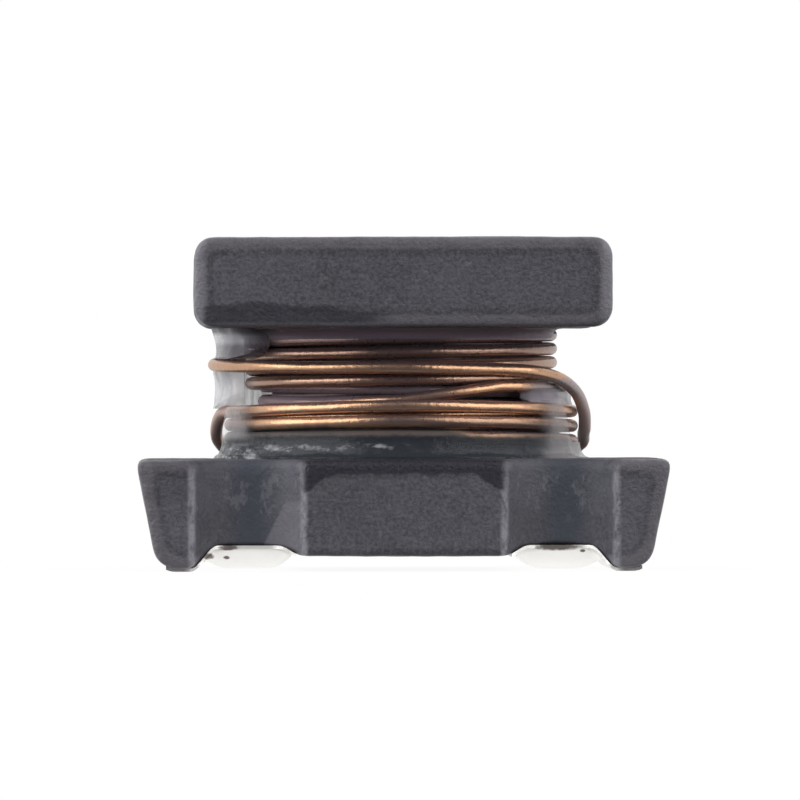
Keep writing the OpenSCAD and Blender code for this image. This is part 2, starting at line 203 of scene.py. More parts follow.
class ResinSettings(bpy.types.PropertyGroup):
    """Sizes and colours of the fixing resin."""

    reach: length("Foot reach", "Reach of the resin round the foot of the winding", 0.06)
    rise: length("Foot rise", "Height of the resin round the foot of the winding", 0.1)
    apron: length("Apron", "Height of the resin in front of the winding's lower turns", 0.17)
    left_film: length("Left film", "Height of the thin resin at the left of the lower turns", 0.3224)
    collar_reach: length("Collar reach", "Reach of the resin under the flange", 0.1)
    collar_drop: length("Collar drop", "Drop of the resin under the flange", 0.07)
    lip: length("Lip", "Thickness of the resin's thin edges", 0.008)
    creep: length("Creep", "How far the side resin creeps to the wires above and below it", 0.026)
    clear: colour("Clear", "Resin over dark ferrite and wire", 0.03, 0.034, 0.042)
    # Also the colour of the painted highlight along the foot resin
    milky_and_highlight: colour("Milky", "Thick or cloudy resin", 0.66, 0.66, 0.7)
    cloud: colour("Cloud", "Darker clouds in the resin", 0.36, 0.35, 0.4)
    film: colour("Film", "Thin resin at the two sides of the winding", 0.45, 0.43, 0.44)
    shade: colour("Shade", "Resin under the flange", 0.24, 0.19, 0.24)


class StageSettings(bpy.types.PropertyGroup):
    """Camera, lamps and floor."""

    view_width: length("View width", "Width of the picture at the part's front face", 4.776)
    distance: length("Distance", "From the camera to the part's front face", 100)
    aim_x: length("Aim X", "Sideways aim of the camera", -0.024, lowest=-1)
    aim_z: length("Aim Z", "Height of the camera's aim", 1.024)
    yaw: angle("Yaw", "Turn of the camera to the part's left", 0.8)
    roll: angle("Roll", "Turn of the camera about its own line of sight", 0.12)
    lamp_distance: length("Lamp distance", "From a soft lamp to the part", 40)
    lamp_width: length("Lamp width", "Width of a soft lamp", 46)
    lamp_height: length("Lamp height", "Height of a soft lamp", 46)
    left_azimuth: angle("Left azimuth", "Left lamp's angle from the camera's line", 66)
    right_azimuth: angle("Right azimuth", "Right lamp's angle from the camera's line", 60)
    lamp_elevation: angle("Lamp elevation", "Each lamp's angle above the floor", 26)
    left_radiance: brightness("Left radiance", "Brightness of the left lamp", 3.5)
    right_radiance: brightness("Right radiance", "Brightness of the right lamp", 2.9)
    floor_size: length("Floor size", "Side of the square floor", 600)
    shadow: length("Shadow", "Reach of the part's shadow on the floor, front and back", 9)
    bounce: length("Bounce", "Reach of the bright floor that lights the part from below", 2.6)
    white: colour("White", "Floor as the camera sees it", 0.9, 0.9, 0.9)
    dull: colour("Dull", "Floor as the part reflects it", 0.06, 0.06, 0.06)


def in_mm(group):
    """A settings group's lengths in millimetres, and its other values as they are."""
    values = {}
    for key in group.bl_rna.properties.keys():
        if key not in ("rna_type", "name"):
            value = getattr(group, key)
            is_length = group.bl_rna.properties[key].unit == "LENGTH"
            values[key] = value / MM if is_length else value
    return SimpleNamespace(**values)


def blend(a, b, t):
    """The value between a and b at a share t."""
    return a + (b - a) * t


def ease(t):
    """A share that starts and ends gently."""
    return t * t * (3 - 2 * t)


def places(core):
    """Levels and stations that several pieces share, in millimetres."""
    at = SimpleNamespace()
    at.half_length = CORE_HIGH.x
    at.half_depth = CORE_HIGH.y
    at.feet = CORE_LOW.z
    at.top = CORE_HIGH.z
    at.base_top = at.feet + core.base_height
    at.flange = at.top - core.flange_height
    at.notch = at.half_length - core.notch_inset
    at.notch_y = at.half_depth - core.notch_depth
    at.lip_in = at.notch - core.notch_width / 2
    at.lip_out = at.notch + core.notch_width / 2
    at.groove_in = at.notch - core.groove / 2
    at.groove_out = at.notch + core.groove / 2
    at.land = at.groove_in - core.groove_flank
    at.foot_in = at.groove_out + core.groove_flank
    at.end = at.half_length + SOFTENED
    at.foot_out = at.end - core.base_height * math.tan(core.end_lean)
    run = core.foot_corner * math.tan(math.pi / 4 - core.end_lean / 2)
    at.heel = at.foot_out - run
    at.heel_end = at.foot_out + run * math.sin(core.end_lean)
    return at


def underside(x, core, at):
    """Height of the core's underside above its feet, at a distance from the middle."""
    stops = (
        (0, core.land_rise),
        (at.land, core.land_rise),
        (at.groove_in, core.groove_rise),
        (at.groove_out, core.groove_rise),
        (at.foot_in, 0),
        (at.heel, 0),
    )
    for (x0, z0), (x1, z1) in zip(stops, stops[1:]):
        if x <= x1:
            return blend(z0, z1, ease((x - x0) / (x1 - x0)))
    r = core.foot_corner
    return r - math.sqrt(r * r - min(x - at.heel, r) ** 2)


def arc(before, corner, after, radius, steps=8):
    """Points that round a corner of an outline between its neighbours."""
    a = (Vector(before) - Vector(corner)).normalized()
    b = (Vector(after) - Vector(corner)).normalized()
    half = a.angle(b) / 2
    centre = Vector(corner) + (a + b).normalized() * radius / math.sin(half)
    start = Vector(corner) + a * radius / math.tan(half) - centre
    sweep = a.angle_signed(b)
    turn = (math.pi - abs(sweep)) * (1 if sweep > 0 else -1)
    return [centre + Matrix.Rotation(turn * i / steps, 2) @ start for i in range(steps + 1)]


def hand_over(name, bm, node, finish, sharp=None):
    """Makes a finished piece in metres from a bmesh in millimetres, standing for a node of the frame.

    Edges that turn by more degrees than sharp stay crisp.
    """
    bmesh.ops.scale(bm, vec=(MM, MM, MM), verts=bm.verts)
    mesh = bpy.data.meshes.new(name)
    bm.to_mesh(mesh)
    bm.free()
    mesh.shade_smooth()
    if sharp is not None:
        mesh.set_sharp_from_angle(angle=math.radians(sharp))
    piece = bpy.data.objects.new(name, mesh)
    bpy.context.scene.collection.objects.link(piece)
    mesh.materials.append(finish)
    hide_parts(node)
    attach(piece, BODY)
    return piece


def join(bm, other):
    """Adds the shapes of another bmesh to a bmesh."""
    mesh = bpy.data.meshes.new("joining")
    other.to_mesh(mesh)
    other.free()
    bm.from_mesh(mesh)
    bpy.data.meshes.remove(mesh)


def thicken(bm, faces):
    """Copies faces, with walls between the two, and returns the copy's points to be moved."""
    grown = bmesh.ops.extrude_face_region(bm, geom=faces, use_keep_orig=True)["geom"]
    return [part for part in grown if isinstance(part, bmesh.types.BMVert)]


def fuse(bm, grain):
    """Turns the closed shapes of a bmesh into one skin of even faces."""
    mesh = bpy.data.meshes.new("fusing")
    bm.to_mesh(mesh)
    shape = bpy.data.objects.new("fusing", mesh)
    bpy.context.scene.collection.objects.link(shape)
    remesh = shape.modifiers.new("fuse", "REMESH")
    remesh.mode = "VOXEL"
    remesh.voxel_size = grain
    bm.clear()
    bm.from_object(shape, bpy.context.evaluated_depsgraph_get())
    bpy.data.objects.remove(shape)
    bpy.data.meshes.remove(mesh)


def soften(bm, passes):
    """Rounds every edge of a fine skin."""
    for _ in range(passes):
        bmesh.ops.smooth_vert(
            bm, verts=bm.verts, factor=0.5, use_axis_x=True, use_axis_y=True, use_axis_z=True
        )


def roughen(bm, height, size, seed=0.0):
    """Moves the skin in and out by a soft noise of that height and size."""
    bm.normal_update()
    offset = Vector((seed, seed, seed))
    shifts = [noise.noise(v.co / size + offset) * height for v in bm.verts]
    for vert, shift in zip(bm.verts, shifts):
        vert.co += vert.normal * shift


class Field:
    """A shader socket used in Python expressions: each operator adds one Math node."""

    def __init__(self, tree, socket):
        self.tree = tree
        self.socket = socket

    def maths(self, operation, *inputs):
        return add_node(self.tree, "ShaderNodeMath", {"operation": operation}, dict(enumerate(inputs)))

    def __add__(self, other):
        return self.maths("ADD", self, other)

    def __radd__(self, other):
        return self.maths("ADD", other, self)

    def __sub__(self, other):
        return self.maths("SUBTRACT", self, other)

    def __rsub__(self, other):
        return self.maths("SUBTRACT", other, self)

    def __mul__(self, other):
        return self.maths("MULTIPLY", self, other)

    def __rmul__(self, other):
        return self.maths("MULTIPLY", other, self)

    def __abs__(self):
        return self.maths("ABSOLUTE", self)

    def least(self, other):
        return self.maths("MINIMUM", self, other)

    def most(self, other):
        return self.maths("MAXIMUM", self, other)

    def root(self):
        return self.maths("SQRT", self)

    def step(self, low, high):
        """0 at low and 1 at high, with a smooth change between them."""
        return add_node(
            self.tree,
            "ShaderNodeMapRange",
            {"interpolation_type": "SMOOTHSTEP"},
            {"Value": self, "From Min": low, "From Max": high},
        )

    def over(self, level, soft):
        """1 over a level and 0 under it, with a smooth change of that half width."""
        return self.step(level - soft, level + soft)

    def under(self, level, soft):
        """1 under a level and 0 over it, with a smooth change of that half width."""
        return self.step(level + soft, level - soft)


def add_node(tree, kind, settings=None, sockets=None, output=0):
    """Adds a node, makes its settings, then fills its sockets with values or links. Returns an output."""
    node = tree.nodes.new(kind)
    for key, value in (settings or {}).items():
        setattr(node, key, value)
    for key, value in (sockets or {}).items():
        if isinstance(value, Field):
            tree.links.new(value.socket, node.inputs[key])
        else:
            node.inputs[key].default_value = value
    return Field(tree, node.outputs[output]) if node.outputs else None


def split(tree, vector):
    """The three parts of a vector, as fields."""
    node = add_node(tree, "ShaderNodeSeparateXYZ", {}, {0: vector}).socket.node
    return [Field(tree, output) for output in node.outputs]


# Spots of painted shade at the front of the grooves, for small gaps and voids at the solder: middle in x
# and z, and half sizes, in millimetres
GAP_SHADE_SPOTS = (
    (0.916, 0.143, 0.134, 0.021),
    (1.07, 0.121, 0.016, 0.009),
    (-1.048, 0.143, 0.06, 0.016),
    (-1.17, 0.092, 0.034, 0.02),
    (-1.06, 0.084, 0.02, 0.01),
)


class Finish:
    """A material under construction, with the part's own coordinates in millimetres."""

    def __init__(self, name):
        self.material = bpy.data.materials.new(name)
        self.material.use_nodes = True
        self.tree = self.material.node_tree
        self.tree.nodes.clear()
        self.place = self.add(
            "ShaderNodeMapping",
            {},
            {"Vector": self.add("ShaderNodeTexCoord", output="Object"), "Scale": (1 / MM,) * 3},
        )
        self.x, self.y, self.z = split(self.tree, self.place)

    def add(self, kind, settings=None, sockets=None, output=0):
        return add_node(self.tree, kind, settings, sockets, output)

    def noise(self, per_mm, detail=2.0, roughness=0.5, stretch=(1, 1, 1), shift=0.0):
        """A noise from 0 to 1, with so many waves to the millimetre, stretched and shifted in space."""
        place = self.add(
            "ShaderNodeMapping", {}, {"Vector": self.place, "Scale": stretch, "Location": (shift,) * 3}
        )
        return self.add(
            "ShaderNodeTexNoise",
            {},
            {"Vector": place, "Scale": per_mm, "Detail": detail, "Roughness": roughness},
        )

    def mix(self, factor, a, b):
        """Colour a where the factor is 0, and b where it is 1."""
        shades = {key: s if isinstance(s, Field) else (*s, 1) for key, s in ((6, a), (7, b))}
        return self.add("ShaderNodeMix", {"data_type": "RGBA"}, {0: factor, **shades}, output=2)

    def bump(self, height, depth_mm, strength=1.0, normal=None):
        """A normal from a height between 0 and 1, for a relief of that depth."""
        sockets = {"Height": height, "Distance": depth_mm * MM, "Strength": strength}
        if normal is not None:
            sockets["Normal"] = normal
        return self.add("ShaderNodeBump", {}, sockets)

    def layers(self, shade, *layers):
        """Colours laid over a first colour in turn. A layer is a mask, its share and its colour."""
        for mask, share, tint in layers:
            shade = self.mix(mask * share, shade, tint)
        return shade

    def gap_shade(self):
        """1 in the spots of painted shade at the front of the grooves."""
        in_gap_shade = 0.0
        ragged = self.noise(40, 2) - 0.5
        for x, z, half_x, half_z in GAP_SHADE_SPOTS:
            off_x, off_z = (self.x - x) * (1 / half_x), (self.z - z) * (1 / half_z)
            in_gap_shade = (off_x * off_x + off_z * off_z + ragged * 1.5).step(1.5, 0.3).most(in_gap_shade)
        return in_gap_shade * self.y.under(-0.925, 0.075)

    def shader(self, **sockets):
        """A surface shader. An underscore stands for a space in a socket's name."""
        named = {key.replace("_", " "): value for key, value in sockets.items()}
        return self.add("ShaderNodeBsdfPrincipled", {}, named)

    def surface(self, shader):
        """Ends the material with a shader."""
        self.add("ShaderNodeOutputMaterial", {}, {"Surface": shader})
        return self.material


def panel_edge(a, b, c, corner=0.16):
    """Distance from a block's nearest edge, given those to its faces, with rounded panel corners."""
    near = a.least(b).most(a.most(b).least(c))
    far = a.most(b).most(c)
    off_near = (corner - near).most(0.0)
    off_far = (corner - far).most(0.0)
    return corner - (off_near * off_near + off_far * off_far).root()


def ferrite_finish(core, at):
    """Pressed and fired ferrite: speckled flat faces, smoother rounded edges, resin smears, and painted
    light and shade on the edges and in the notches.
    """
    f = Finish("ferrite")
    along, across = abs(f.x), abs(f.y)
    # Height over the flange's lower face, and depth under the base's top face
    above = f.z - at.flange
    below = at.base_top - f.z
    on_flange = f.z.step(at.base_top, at.flange)
    on_base = 1 - on_flange
    front = (f.y + at.half_depth).under(0.1, 0.05)
    ragged = f.noise(9, 3, 0.6) - 0.5
    fine = f.noise(44, 2, 0.6).step(0.25, 0.75)
    blotch = f.noise(11, 4, 0.65, shift=3.0)
    wide = f.noise(1.6, 2, 0.5, shift=6.0)
    fleck = f.noise(30, 1, 0.5, shift=9.0).step(0.63, 0.72)

    # Edges: a smoother band along each, painted paler in part as a highlight, a darker line beside it,
    # and a painted highlight on the flange's rounded ends
    to_face = at.half_depth - across
    to_end = core.flange_length / 2 - along
    to_level = core.flange_height / 2 - abs(f.z - (at.flange + at.top) / 2)
    flange_edge = panel_edge(to_end, to_face, to_level)
    base_end = at.end - below * math.tan(core.end_lean) - along
    base_edge = panel_edge(base_end, to_face, (f.z - at.feet).least(below))
    edge = base_edge + (flange_edge - base_edge) * on_flange + ragged * 0.02
    # The band's paler colour is partly a painted highlight on the rounded edges; its lower roughness is
    # real
    band = edge.under(0.07, 0.015)
    line = edge.over(0.07, 0.01) * (edge + ragged * 0.02).under(0.1125, 0.0125)
    # Painted highlight on the flange's rounded ends, where the side lamps would shine
    end_highlight = (to_end + ragged * 0.03).under(0.0625, 0.0325) * on_flange * front

    # Notches: painted light on the walls and on one facet, painted shade in the hollow and on the left
    # side, painted highlights on the lips, and scuffs
    half_notch = core.notch_width / 2
    in_notch = abs(along - at.notch).under(half_notch - 0.02, 0.02) * on_base
    in_notch = in_notch * (across - at.notch_y).over(-0.05, 0.02)
    off = f.x - at.notch + f.x.under(0, 0.01) * (2 * at.notch)
    # Painted shade in the middle of each notch
    hollow = abs(off - 0.03).under(0.125, 0.095) * in_notch
    # Painted shade on each notch's left side, lit only by the weaker right lamp
    left_side_shade = off.under(-0.12, 0.08) * in_notch
    # Painted light on each notch's walls
    wall_light = in_notch * (1 - hollow) * f.z.over(0.375, 0.075)
    # Painted light on one lower facet of each notch
    facet_light = (f.x + 0.84 - (f.z - 0.176) * 0.5).over(0.01, 0.01) * f.z.under(0.415, 0.035)
    facet_light = facet_light * f.x.under(-0.56, 0.06) * in_notch
    # Painted highlights on the rounded lips of the notches, where the lamps would shine
    to_lip = abs(along - at.lip_in).least(abs(along - at.lip_out)) + ragged * 0.015
    lip_highlights = to_lip.under(0.021, 0.013) * to_face.under(0.075, 0.025) * below.over(0.06, 0.03) * on_base
    lip_highlights = lip_highlights * f.noise(13, 3, 0.7, stretch=(1, 1, 0.6), shift=4.0).step(0.3, 0.6)
    scuff = f.noise(12, 4, 0.75, stretch=(1, 1, 0.5), shift=8.0).step(0.53, 0.64) * in_notch
    scuff = scuff * f.z.over(0.325, 0.075) * below.over(0.085, 0.035)

    # Resin smears: low on the flange's left half, under the winding's foot, and on the left shoulder
    smear_height = 0.14 + ragged * 0.1 - f.x.over(-0.35, 0.35) * 0.07
    smear = (smear_height - above).over(0, 0.012) * above.over(0.0275, 0.0125)
    smear = smear * f.x.under(-0.125, 0.125) * to_end.over(0.06, 0.02) * on_flange * front
    wick_depth = 0.09 - ragged * 0.07 + along.over(0.5, 0.1) * 0.1
    wick = (wick_depth - below).over(0, 0.012) * along.under(0.605, 0.025) * on_base * front
    shoulder_depth = 0.25 + ragged * 0.16
    shoulder = (shoulder_depth - below).over(0, 0.02) * along.over(1.27, 0.03)
    shoulder = shoulder * base_end.over(0.09, 0.01) * f.x.under(0, 0.2) * on_base * front
    slick = (smear * 0.78).most(wick).most(shoulder * 0.25)

    foot = along.over(1.26, 0.04) * on_base * front
    tone = 0.56 + (fine - 0.5) * 0.4 + (blotch - 0.5) * 0.55 + (wide - 0.5) * 0.3 + fleck * 0.22
    tone = (tone - line * 0.16 + foot * 0.1).step(0.0, 1.0)
    shade = f.layers(
        f.mix(tone, core.dark, core.grey),
        ((band * (0.25 + blotch)).least(1.0), 1, core.edge),
        (end_highlight, 0.45, core.lip),
        (wall_light, 0.35, core.wall_light),
        (hollow, 0.8, core.hollow),
        (left_side_shade, 0.3, core.dark),
        (scuff, 0.22, core.lip),
        (facet_light, 0.3, core.lip),
        (lip_highlights, 0.8, core.lip),
        (slick, 0.92, core.slick),
    )
    normal = f.bump(fine, 0.01, 0.35)
    return f.surface(f.shader(
        Base_Color=shade,
        Roughness=0.6 - band * 0.14 - slick * 0.1 + (fine - 0.5) * 0.25,
        Specular_IOR_Level=0.3,
        Normal=f.bump(blotch, 0.02, 0.3, normal),
    ))


def copper_finish(winding):
    """Copper under clear enamel, with painted shade on the inner layers and a painted shadow of the
    flange on the turns next to it, and dark where the fixing resin soaked it.
    """
    f = Finish("enamelled_copper")
    cloud = f.noise(5, 3, 0.6)
    grain = f.noise(38, 2, 0.6)
    radius = (f.x * f.x + f.y * f.y).root()
    above_base = f.z.over(0.63, 0.03)

    # The wire's tones: painted shade on the inner layers, a darker colour on the upper section's turns
    # inside the outer ones, and a painted shadow of the flange on the turns next to it
    inner = radius.under(0.885, 0.025) * f.z.over(0.69, 0.01)
    # Darker, duller colour on the upper section's turns inside the outer ones
    dull = radius.under(0.965, 0.02) * f.z.over(1.03, 0.03)
    # Painted shadow of the flange on the highest turns
    shaded = f.z.over(1.32, 0.05)

    # Resin on the wire: soaked lower turns, films on the right and the leads, and a turn over the soaked
    # ones darkened in its middle and right
    on_turns = radius.under(1.085, 0.015)
    soaked_level = 0.875 + (cloud - 0.5) * 0.06 - f.x.over(0.35, 0.15) * 0.08
    soaked = (f.z - soaked_level).under(-0.005, 0.025) * above_base * on_turns
    darkened_level = 0.922 - f.x * 0.027
    darkened_turn = (f.z - darkened_level).under(0, 0.012) * f.x.over(-0.175, 0.125) * on_turns
    filmed = f.x.over(0.775, 0.075) * f.z.over(1.045, 0.015) * f.z.under(1.15, 0.02) * f.y.under(0.2, 0.1)
    lead = abs(f.x).over(1.0525, 0.0225) * f.z.under(1.075, 0.025) * above_base * f.y.under(0.45, 0.15)
    lead = lead * (0.65 + f.x.over(0.05, 0.05) * 0.35)
    shade = f.layers(
        winding.copper,
        (cloud.step(0.3, 0.75), 0.5, winding.tarnish),
        (dull, 0.8, winding.dull),
        (shaded, 0.8, winding.shaded),
        (inner, 0.8, winding.inner),
        (soaked.most(darkened_turn * 0.6), 0.92, winding.wet),
        (filmed, 0.8, winding.film),
        (lead, 0.85, winding.veil),
    )
    metal = f.shader(
        Base_Color=shade,
        Metallic=1.0 - (soaked * 0.95).most(filmed * 0.6).most(lead * 0.85),
        Roughness=0.3 + soaked.most(lead) * 0.35 + (grain - 0.5) * 0.2,
        Coat_Weight=0.1,
        Coat_Roughness=0.15,
        Coat_IOR=1.5,
        Normal=f.bump(f.noise(34, 2, 0.6), 0.005, 0.5),
    )
    haze = f.shader(Base_Color=(*winding.haze, 1), Roughness=0.7, Specular_IOR_Level=0.2)
    hazy = (0.2 + inner * 0.5) * (1 - soaked)
    return f.surface(f.add("ShaderNodeMixShader", {}, {0: hazy, 1: metal, 2: haze}))


def tin_finish(terminals):
    """Matt, slightly grainy tin, with a darker front edge under each foot and spots of painted shade at
    its front end.
    """
    f = Finish("tin")
    cloud = f.noise(5, 4, 0.6)
    shade = f.mix(cloud.step(0.35, 0.75) * 0.3, terminals.tin, terminals.dull)
    # Darker front edge of the terminal layer under each foot
    dark_front_edge = f.y.under(-1.115, 0.035) * abs(f.x).over(1.29, 0.03)
    shade = f.mix(dark_front_edge * 0.85, shade, terminals.dark_front_edge)
    return f.surface(f.shader(
        Base_Color=f.mix(f.gap_shade() * 0.9, shade, terminals.gap_shade),
        Metallic=0.7,
        Roughness=0.45 + (f.noise(40, 2) - 0.5) * 0.25,
        Normal=f.bump(f.noise(28, 3, 0.6), 0.01, 0.4),
    ))


def solder_finish(terminals):
    """Pale cooled solder, with spots of painted shade at its front end."""
    f = Finish("solder")
    in_gap_shade = f.gap_shade()
    return f.surface(f.shader(
        Base_Color=f.mix(in_gap_shade, terminals.bright, terminals.gap_shade),
        Metallic=0.25 - in_gap_shade * 0.2,
        Roughness=0.38 + in_gap_shade * 0.2 + (f.noise(18, 3) - 0.5) * 0.2,
        Normal=f.bump(f.noise(9, 3, 0.55), 0.02, 0.3),
    ))


def clear_resin_finish(resin):
    """Clear resin that looks dark over the ferrite, with a painted highlight in a broken line, pale
    crumbs at the left corner and a wet gloss.
    """
    f = Finish("clear_resin")
    lump = f.noise(10, 3, 0.6)
    uneven = (lump - 0.5) * 0.05
    crumb_and_glint = f.noise(16, 3, 0.65, stretch=(0.6, 0.6, 1.4), shift=4.0)
    right = f.x.over(0.05, 0.05)

    # A painted highlight in a broken line along the left half, and pale crumbs at the left corner
    highlight_row = abs(f.z - 0.74 - uneven).under(0.0165, 0.0085) * f.x.under(0, 0.1)
    corner = f.z.under(0.75, 0.03) * f.x.under(-0.875, 0.075) * f.y.under(-0.175, 0.175)
    pale = (crumb_and_glint.step(0.48, 0.7) * highlight_row * 0.36).most(crumb_and_glint.step(0.4, 0.66) * corner * 0.6)

    # The body at the foot, clearer at the right and at the sides, and the thin films above it
    body = (f.z + uneven).under(0.8, 0.03)
    side = (abs(f.x) + right * 0.07 + uneven * 2).over(0.93, 0.07)
    window = f.x.over(0.275, 0.175) * f.z.over(0.73, 0.03)
    solid = 0.92 - window * (0.36 - side * 0.25) - side * 0.3 + pale * 0.1
    fading = (f.y + right * 0.28).under(-0.15, 0.13)
    thin = 0.02 + side * (0.32 - right * 0.06) * (0.2 + fading * 0.8)
    veil = side * (right * 0.6).most(1 - body)
    shade = f.mix(pale, resin.clear, resin.milky_and_highlight)
    return f.surface(f.shader(
        Base_Color=f.mix(veil * 0.9, shade, resin.film),
        Roughness=0.16 + lump * 0.12,
        Specular_IOR_Level=0.15,
        Alpha=thin + (solid - thin) * body,
        Normal=f.bump(lump, 0.03, 0.4),
    ))


def milky_resin_finish(resin):
    """Pale, cloudy resin that lets some light through."""
    f = Finish("milky_resin")
    lump = f.noise(9, 3, 0.6)
    streak = f.noise(8, 2, 0.6, stretch=(1, 1, 0.3), shift=2.0).step(0.4, 0.65)
    return f.surface(f.shader(
        Base_Color=f.mix(lump.step(0.3, 0.75) * 0.4, resin.milky_and_highlight, resin.cloud),
        Roughness=0.3 + lump * 0.2,
        Specular_IOR_Level=0.35,
        Alpha=0.35 + streak * 0.3,
        Normal=f.bump(lump, 0.03, 0.4),
    ))


def dim_resin_finish(resin):
    """Darker resin in the shade of the flange and of the last turn, with paler bands and a band of
    painted light at the cheek.
    """
    f = Finish("dim_resin")
    lump = f.noise(9, 3, 0.6)
    bands = f.noise(9, 3, 0.6, stretch=(0.5, 0.5, 2.4), shift=5.0).step(0.4, 0.6)

    # The cheek at the collar's left: a paler band of painted light from a lit wire row under it, a
    # clearer front and a thin outer edge
    cheek = f.x.under(-0.775, 0.075) * f.z.over(1.275, 0.025)
    row_light = abs(f.z - 1.395 + (lump - 0.5) * 0.04).under(0.03, 0.02) * cheek
    front = (f.x + (lump - 0.5) * 0.1).over(-0.92, 0.1) * cheek * f.z.under(1.4, 0.02)
    thin = f.x.under(-1.07, 0.07) * cheek * f.z.under(1.43, 0.02)

    # The web lies lower than the collar
    web = f.z.under(1.275, 0.025)
    pale = (row_light * (0.5 + bands * 0.3)).most(web * (0.45 + bands * 0.45))
    shade = f.mix(cheek * (0.75 - front * 0.35), resin.shade, resin.clear)
    return f.surface(f.shader(
        Base_Color=f.mix(pale, shade, resin.cloud),
        Roughness=0.3 + lump * 0.2,
        Specular_IOR_Level=0.3,
        Alpha=0.84 - front * (0.2 + bands * 0.3) - pale * 0.2 - web * 0.1 - thin * 0.45,
        Normal=f.bump(lump, 0.03, 0.4),
    ))


class INDUCTOR_OT_core(bpy.types.Operator):
    """Build the ferrite drum core"""

    bl_idname = "inductor.core"
    bl_label = "Ferrite core"

    def execute(self, context):
        core = in_mm(context.scene.inductor_core)
        at = places(core)
        bm = bmesh.new()
        self.base(bm, core, at)
        self.flange(bm, core, at)
        window = at.flange - at.base_top
        bmesh.ops.create_cone(
            bm,
            cap_ends=True,
            segments=96,
            radius1=core.post / 2,
            radius2=core.post / 2,
            depth=window + core.base_height,
            matrix=Matrix.Translation((0, 0, at.base_top + window / 2)),
        )
        fuse(bm, core.grain)
        soften(bm, core.softening)
        roughen(bm, core.swell, core.swell_size)
        roughen(bm, core.dents, core.dents_size, seed=7.0)
        hand_over("ferrite_core", bm, "drum_core", ferrite_finish(core, at))
        return {"FINISHED"}

    def base(self, bm, core, at):
        """The base: a quarter of its plan pulled down, its underside shaped, then mirrored twice."""
        outline = [(0, 0), (0, -at.half_depth), (at.lip_in, -at.half_depth)]
        floor_in = (at.notch - core.notch_floor / 2, -at.notch_y)
        floor_out = (at.notch + core.notch_floor / 2, -at.notch_y)
        lip_out = (at.lip_out, -at.half_depth)
        outline += [tuple(p) for p in arc(outline[-1], floor_in, floor_out, core.notch_radius)]
        outline += [tuple(p) for p in arc(floor_in, floor_out, lip_out, core.notch_radius)]
        outline += [lip_out, (at.end, -at.half_depth), (at.end, 0)]
        verts = [bm.verts.new((x, y, at.base_top)) for x, y in outline]
        low = thicken(bm, [bm.faces.new(verts)])
        bmesh.ops.translate(bm, verts=low, vec=(0, 0, -core.base_height))
        heel = [blend(at.heel, at.heel_end, share) for share in (0, 0.3, 0.55, 0.75, 0.9)]
        flanks = [
            blend(start, end, share)
            for start, end in ((at.land, at.groove_in), (at.groove_out, at.foot_in))
            for share in (0, 0.2, 0.4, 0.6, 0.8, 1)
        ]
        for x in (*flanks, *heel):
            bmesh.ops.bisect_plane(
                bm, geom=bm.verts[:] + bm.edges[:] + bm.faces[:], dist=NEAR,
                plane_co=(x, 0, 0), plane_no=(1, 0, 0),
            )
        for vert in bm.verts:
            if vert.co.z < at.base_top - NEAR:
                vert.co.x = min(vert.co.x, at.heel_end)
                vert.co.z = at.feet + underside(vert.co.x, core, at)
        inner = [
            face for face in bm.faces
            if all(v.co.x < NEAR for v in face.verts) or all(v.co.y > -NEAR for v in face.verts)
        ]
        bmesh.ops.delete(bm, geom=inner, context="FACES")
        for axis in ("X", "Y"):
            bmesh.ops.mirror(
                bm, geom=bm.verts[:] + bm.edges[:] + bm.faces[:], matrix=Matrix(),
                merge_dist=NEAR, axis=axis,
            )
        bmesh.ops.recalc_face_normals(bm, faces=bm.faces)

    def flange(self, bm, core, at):
        """The top flange: a block with its front corners rounded."""
        block = bmesh.ops.create_cube(bm, size=1)["verts"]
        size = (core.flange_length, 2 * at.half_depth, core.flange_height)
        bmesh.ops.scale(bm, vec=size, verts=block)
        bmesh.ops.translate(bm, vec=(0, 0, (at.flange + at.top) / 2), verts=block)
        edges = {edge for vert in block for edge in vert.link_edges}
        deep = [e for e in edges if abs(e.verts[0].co.y - e.verts[1].co.y) > NEAR]
        bmesh.ops.bevel(
            bm, geom=deep, offset=core.flange_corner, offset_type="OFFSET", segments=8, profile=0.5,
            affect="EDGES", material=-1, clamp_overlap=True,
        )


